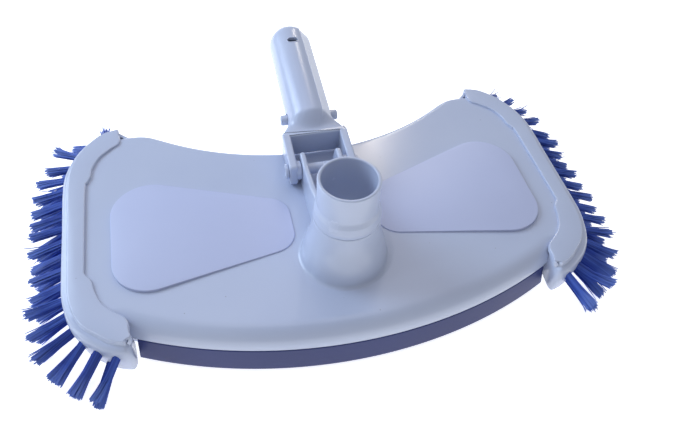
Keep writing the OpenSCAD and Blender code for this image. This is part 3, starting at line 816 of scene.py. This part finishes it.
def tube_radius(angle):
    """The circle's radius, cut by a chord over the flat strip, plus a rib at the strip's upper edge."""
    off = (angle - FLAT_MIDDLE + np.pi) % (2 * np.pi) - np.pi
    chord = TUBE_R * math.cos(FLAT_HALF) / np.cos(np.clip(off, -FLAT_HALF, FLAT_HALF))
    radius = np.where(np.abs(off) < FLAT_HALF, chord, TUBE_R)
    return radius + 0.3 * np.exp(-((off + FLAT_HALF) / 0.035) ** 2)


def tube():
    """The tube from its root to the domed tip: the section's radius shrinks as a quarter circle.
    Its root widens into the web as a blend of the section with a rounded rectangle."""
    angle = np.linspace(0, 2 * np.pi, 181)[:-1]
    shape = tube_radius(angle)
    q = np.linspace(0, np.pi / 2 - 0.03, 16)
    y = np.r_[np.linspace(WEB_Y + 2, 46, 14), np.linspace(47, TUBE_END, 24)[1:], TUBE_END + TUBE_R * np.sin(q)[1:]]
    shrink = np.r_[np.ones(37), np.cos(q)[1:]]
    x = np.outer(shrink, shape * np.sin(angle))
    z = np.outer(shrink, shape * np.cos(angle))
    box_x, box_z = EAR_OUT - 1.5, np.where(np.cos(angle) > 0, 8.0, -WEB_LOW - 0.5)
    blend = np.clip((44 - y) / 14, 0, 1)[:, None]
    blend = blend * blend * (3 - 2 * blend)
    power = (np.abs(np.sin(angle) / box_x) ** 6 + np.abs(np.cos(angle) / box_z) ** 6) ** (-1 / 6)
    x = (1 - blend) * x + blend * power * np.sin(angle)
    z = (1 - blend) * z + blend * power * np.cos(angle)
    grid = np.stack([x, np.broadcast_to(y[:, None], x.shape), z], -1)
    return patch(grid, columns_loop=True, first_cap=True, last_cap=True)


def yoke():
    """The web and the two ears of the fork, as plates with softened edges."""
    reach = EAR_OUT - 1
    web = plate(rounded([(-reach, WEB_Y), (reach, WEB_Y), (reach, ROOT_Y), (-reach, ROOT_Y)], 0.6),
                WEB_LOW, 8.1, 1.2)
    parts = [patch(web, columns_loop=True, first_cap=True, last_cap=True)]
    ear_side = rounded([(-4.5, 8.5), (ROOT_Y + 0.5, 8.2), (ROOT_Y, WEB_LOW), (20, WEB_LOW), (-8, -10.5)],
                       [2.5, 4.5, 0.8, 2, 6], 8)
    ear = across_x(plate(ear_side, EAR_IN, EAR_OUT, 1.3))
    ear = patch(ear, columns_loop=True, first_cap=True, last_cap=True)
    boss_points, boss_faces = revolve([(0, 15.8), (6.4, 15.8), (7, 16.4), (7, EAR_IN + 1), (0, EAR_IN + 1)], 48)
    boss = boss_points[:, [2, 0, 1]], boss_faces
    return parts + [ear, flipped(ear), boss, flipped(boss)]


# %% Boolean cuts for the handle
def cutter(name, part):
    """A closed object that only cuts."""
    mesh = bpy.data.meshes.new(name)
    mesh.from_pydata(part[0] * MM, [], part[1])
    work = bmesh.new()
    work.from_mesh(mesh)
    bmesh.ops.remove_doubles(work, verts=work.verts, dist=0.001 * MM)
    bmesh.ops.recalc_face_normals(work, faces=work.faces)
    work.to_mesh(mesh)
    work.free()
    made = bpy.data.objects.new(name, mesh)
    bpy.context.scene.collection.objects.link(made)
    return made


def cut(piece, parts, crease=35):
    """Cuts patches out of a piece with exact booleans and keeps the resulting mesh."""
    tools = [cutter(f"cutter_{i}", part) for i, part in enumerate(parts)]
    for tool in tools:
        step = piece.modifiers.new("cut", "BOOLEAN")
        step.operation, step.solver, step.object = "DIFFERENCE", "EXACT", tool
    seen = piece.evaluated_get(bpy.context.evaluated_depsgraph_get())
    mesh = bpy.data.meshes.new_from_object(seen)
    piece.modifiers.clear()
    piece.data = mesh
    mesh.set_sharp_from_angle(angle=math.radians(crease))
    for tool in tools:
        bpy.data.objects.remove(tool)
    print(f"{piece.name} after cutting: {len(mesh.polygons)} faces")


def turned(part, order, shift):
    """A patch with its axes taken in another order, then moved."""
    return part[0][:, order] + shift, part[1]


q = np.linspace(0, np.pi / 2, 12)
core_r = TUBE_R - WALL_TUBE
core_profile = np.column_stack([np.r_[0, core_r, core_r * np.cos(q)],
                                np.r_[43, 43, TUBE_END + core_r * np.sin(q)]])
core = turned(revolve(core_profile, 72), [1, 2, 0], [0, 0, 0])
slot_plan = rounded([(-7, 44), (7, 44), (7, 74), (-7, 74)], 3)
slot_cut = patch(plate(slot_plan, -TUBE_R - 3, -8, 0.1, 1), columns_loop=True, first_cap=True, last_cap=True)
drain_plan = rounded([(-4.2, DRAIN_Y - 2.4), (4.2, DRAIN_Y - 2.4), (4.2, DRAIN_Y + 2.4), (-4.2, DRAIN_Y + 2.4)],
                     2.39, 8)
drain = patch(plate(drain_plan, 4, 22, 0.1, 1), columns_loop=True, first_cap=True, last_cap=True)
button_hole = revolve([(0, -24), (BUTTON_R + 1, -24), (BUTTON_R + 1, 24), (0, 24)], 48)
button_hole = turned(button_hole, [2, 0, 1], [0, BUTTON_Y, 0])
new_piece("handle_fork", [handle_frame(p) for p in yoke()], "handle", abs_clean,
          at_port=False)
handle = new_piece("handle_moulding", [handle_frame(tube())], "handle", abs_clean, "handle",
                   at_port=False)
cut(handle, [handle_frame(p) for p in (core, slot_cut, drain, button_hole)])

# %% Drain hole rim, buttons and pivot pin
def tube_ring(part):
    """A patch bent onto the tube: height above the tube's top follows its circle."""
    points = part[0].copy()
    points[:, 2] += np.sqrt(np.maximum(TUBE_R ** 2 - points[:, 0] ** 2, 0)) - TUBE_R
    return points, part[1]


def drain_rim():
    """A low bead round the drain hole: a small half circle carried round the hole's outline."""
    path = rounded([(-4.7, DRAIN_Y - 2.9), (4.7, DRAIN_Y - 2.9), (4.7, DRAIN_Y + 2.9), (-4.7, DRAIN_Y + 2.9)],
                   2.89, 8)
    out = left_normals(path, closed=True)
    a = np.linspace(0, 2 * np.pi, 11)[:-1]
    flat = path[None] + 0.5 * np.cos(a)[:, None, None] * out[None]
    height = np.broadcast_to((TUBE_R + 0.35 * np.sin(a))[:, None, None], flat.shape[:2] + (1,))
    return tube_ring(patch(np.concatenate([flat, height], -1), rows_loop=True, columns_loop=True))


new_piece("drain_hole_rim", [handle_frame(drain_rim())], "handle", abs_clean, at_port=False)


def snap_button():
    """A round-edged pin on +X: a stem, a body and a domed end."""
    tip = TUBE_R + 5
    profile = [(0, 11.6), (1.6, 11.6), (1.6, 13.8), (3.6, 13.8), (BUTTON_R, 14.2), (BUTTON_R, tip - 1.3),
               (BUTTON_R - 0.15, tip - 0.7), (BUTTON_R - 0.5, tip - 0.25), (BUTTON_R - 1.1, tip), (0, tip)]
    return turned(revolve(profile, 48), [2, 0, 1], [0, BUTTON_Y, 0])


new_piece("snap_button_moulding_right", [handle_frame(snap_button())], "clip_right", abs_clean,
          "snap_button_right", at_port=False)
new_piece("snap_button_moulding_left", [handle_frame(flipped(snap_button()))], "clip_left", abs_clean,
          "snap_button_left", at_port=False)


def pin_profile(high):
    """Half the pin: a shank to one end and, at +X, a low head with a rounded rim."""
    return [(0, 0), (4, 0), (4, EAR_OUT + 0.3), (5.3, EAR_OUT + 0.3), (5.5, EAR_OUT + 0.6),
            (5.5, high - 0.8), (5.1, high - 0.2), (4.5, high), (3.1, high), (2.7, high - 0.7), (0, high - 0.7)]


head_end = turned(revolve(pin_profile(EAR_OUT + 2.8), 64), [2, 0, 1], PIVOT)
new_piece("pivot_pin_moulding", [flipped(head_end)], "head", abs_clean, "pivot_pin",
          at_port=False)
new_piece("pivot_pin_cap", [head_end], "head", abs_clean, "pin_cap", at_port=False)

# %% [markdown]
# ## Underneath
# The floor brushes stand in two curved bars that clip between the shell's wall and a rib. Two steel
# weights hang under the top, each behind a plastic cover held by four screws.

# %% Bars, ribs and covers
CHANNEL, RIB_T, BAR_LOW, BAR_HIGH = 8.0, 2.4, 7.0, 14.0
front_rib_r = FRONT_R - BUMPER_T - WALL - CHANNEL
rear_rib_r = REAR_R + WALL + CHANNEL


def arc_bar(inner, outer, low, high, half_angle, centre_y, edge, steps=160):
    """A bar with a rounded rectangular section, bent about a point on the Y axis."""
    section = rounded([(inner, low), (outer, low), (outer, high), (inner, high)], edge, 4)
    angle = np.linspace(-half_angle, half_angle, steps)[:, None]
    radius = section[None, :, 0]
    grid = np.stack([radius * np.sin(angle), centre_y - radius * np.cos(angle),
                     np.broadcast_to(section[:, 1], (steps, len(section)))], -1)
    return patch(grid, columns_loop=True, first_cap=True, last_cap=True)


front_row_r, rear_row_r = front_rib_r + CHANNEL / 2, rear_rib_r - CHANNEL / 2
front_half, rear_half = math.asin(120 / front_row_r), math.asin(96 / rear_row_r)
new_piece("floor_bar_front_moulding",
          [arc_bar(front_rib_r, front_rib_r + CHANNEL, BAR_LOW, BAR_HIGH, front_half + 0.017, FRONT_CY, 0.8)],
          "head", abs_clean, "floor_bar_front")
new_piece("floor_bar_rear_moulding",
          [arc_bar(rear_rib_r - CHANNEL, rear_rib_r, BAR_LOW, BAR_HIGH, rear_half + 0.026, REAR_CY, 0.8)],
          "head", abs_clean, "floor_bar_rear")
new_piece("shell_ribs",
          [arc_bar(front_rib_r - RIB_T, front_rib_r, 9, 32.4, math.asin(155 / front_rib_r), FRONT_CY, 0.5),
           arc_bar(rear_rib_r, rear_rib_r + RIB_T, 9, 32.4, math.asin(150 / rear_rib_r), REAR_CY, 0.5)],
          "head", abs_gloss)


def cover():
    """A flat cover just smaller than the pad above it, with rounded edges."""
    grid = plate(rounded(PAD_CORNERS, PAD_RADII, 14), 18.6, 21, 0.5)
    middle = grid[..., :2].mean(axis=(0, 1))
    grid[..., :2] = middle + (grid[..., :2] - middle) * 0.978
    return patch(grid, columns_loop=True, first_cap=True, last_cap=True)


new_piece("weight_cover_right_moulding", [cover()], "head", abs_clean, "weight_cover_right")
new_piece("weight_cover_left_moulding", [flipped(cover())], "head", abs_clean,
          "weight_cover_left")

# %% Floor rows


def floor_row(row_r, half_angle, centre_y, seed):
    """Upright tufts at even angles along an arc, each splayed a little against the floor."""
    random = np.random.default_rng(seed)
    count = int(2 * half_angle * row_r / 9)
    angle = -half_angle + 2 * half_angle * (np.arange(count) + 0.5) / count
    roots = np.column_stack([row_r * np.sin(angle), centre_y - row_r * np.cos(angle), np.full(count, 11.0)])
    down = np.column_stack([random.normal(0, 0.03, (count, 2)), np.full(count, -1.0)])
    lean = random.normal(0, 0.25, (count, 2))
    points, faces, strand, along = tufts(roots, down, np.full(count, 10.4), 1.75, np.full(count, 0.25), lean,
                                         seed + 1, filaments=44)
    points[:, 2] = np.maximum(points[:, 2], 0.0)
    return points, faces, strand, along


tuft_piece("floor_bristles_front", floor_row(front_row_r, front_half, FRONT_CY, 71), "floor_tufts_front",
           bristle_blue)
tuft_piece("floor_bristles_rear", floor_row(rear_row_r, rear_half, REAR_CY, 81), "floor_tufts_rear",
           bristle_blue)

# %% [markdown]
# ## Pieces carried over from the CAD
# The steel parts, the seal and the screws are seen only through gaps or from below, and their true
# shapes are plain, so they keep their CAD meshes. Each gets the finish of its real material.

# %% Finishes for the carried-over nodes
CARRIED = {
    "weight_left": (zinc, "weight_steel"), "weight_right": (zinc, "weight_steel"),
    "cover_screws": (stainless, "stainless_steel"), "holder_screws": (stainless, "stainless_steel"),
    "spigot_retainer": (stainless, "stainless_steel"), "clip_bend": (stainless, "stainless_steel"),
    "clip_leg_left": (stainless, "stainless_steel"), "clip_leg_right": (stainless, "stainless_steel"),
    "spigot_seal": (nitrile, "seal_rubber"),
}
for name, (finish, slot) in CARRIED.items():
    node = frame["nodes"][name]
    node.data.materials.clear()
    node.data.materials.append(finish)
    node.data.shade_smooth()
    node.data.set_sharp_from_angle(angle=math.radians(30))
print(f"{len(CARRIED)} CAD nodes carried over")
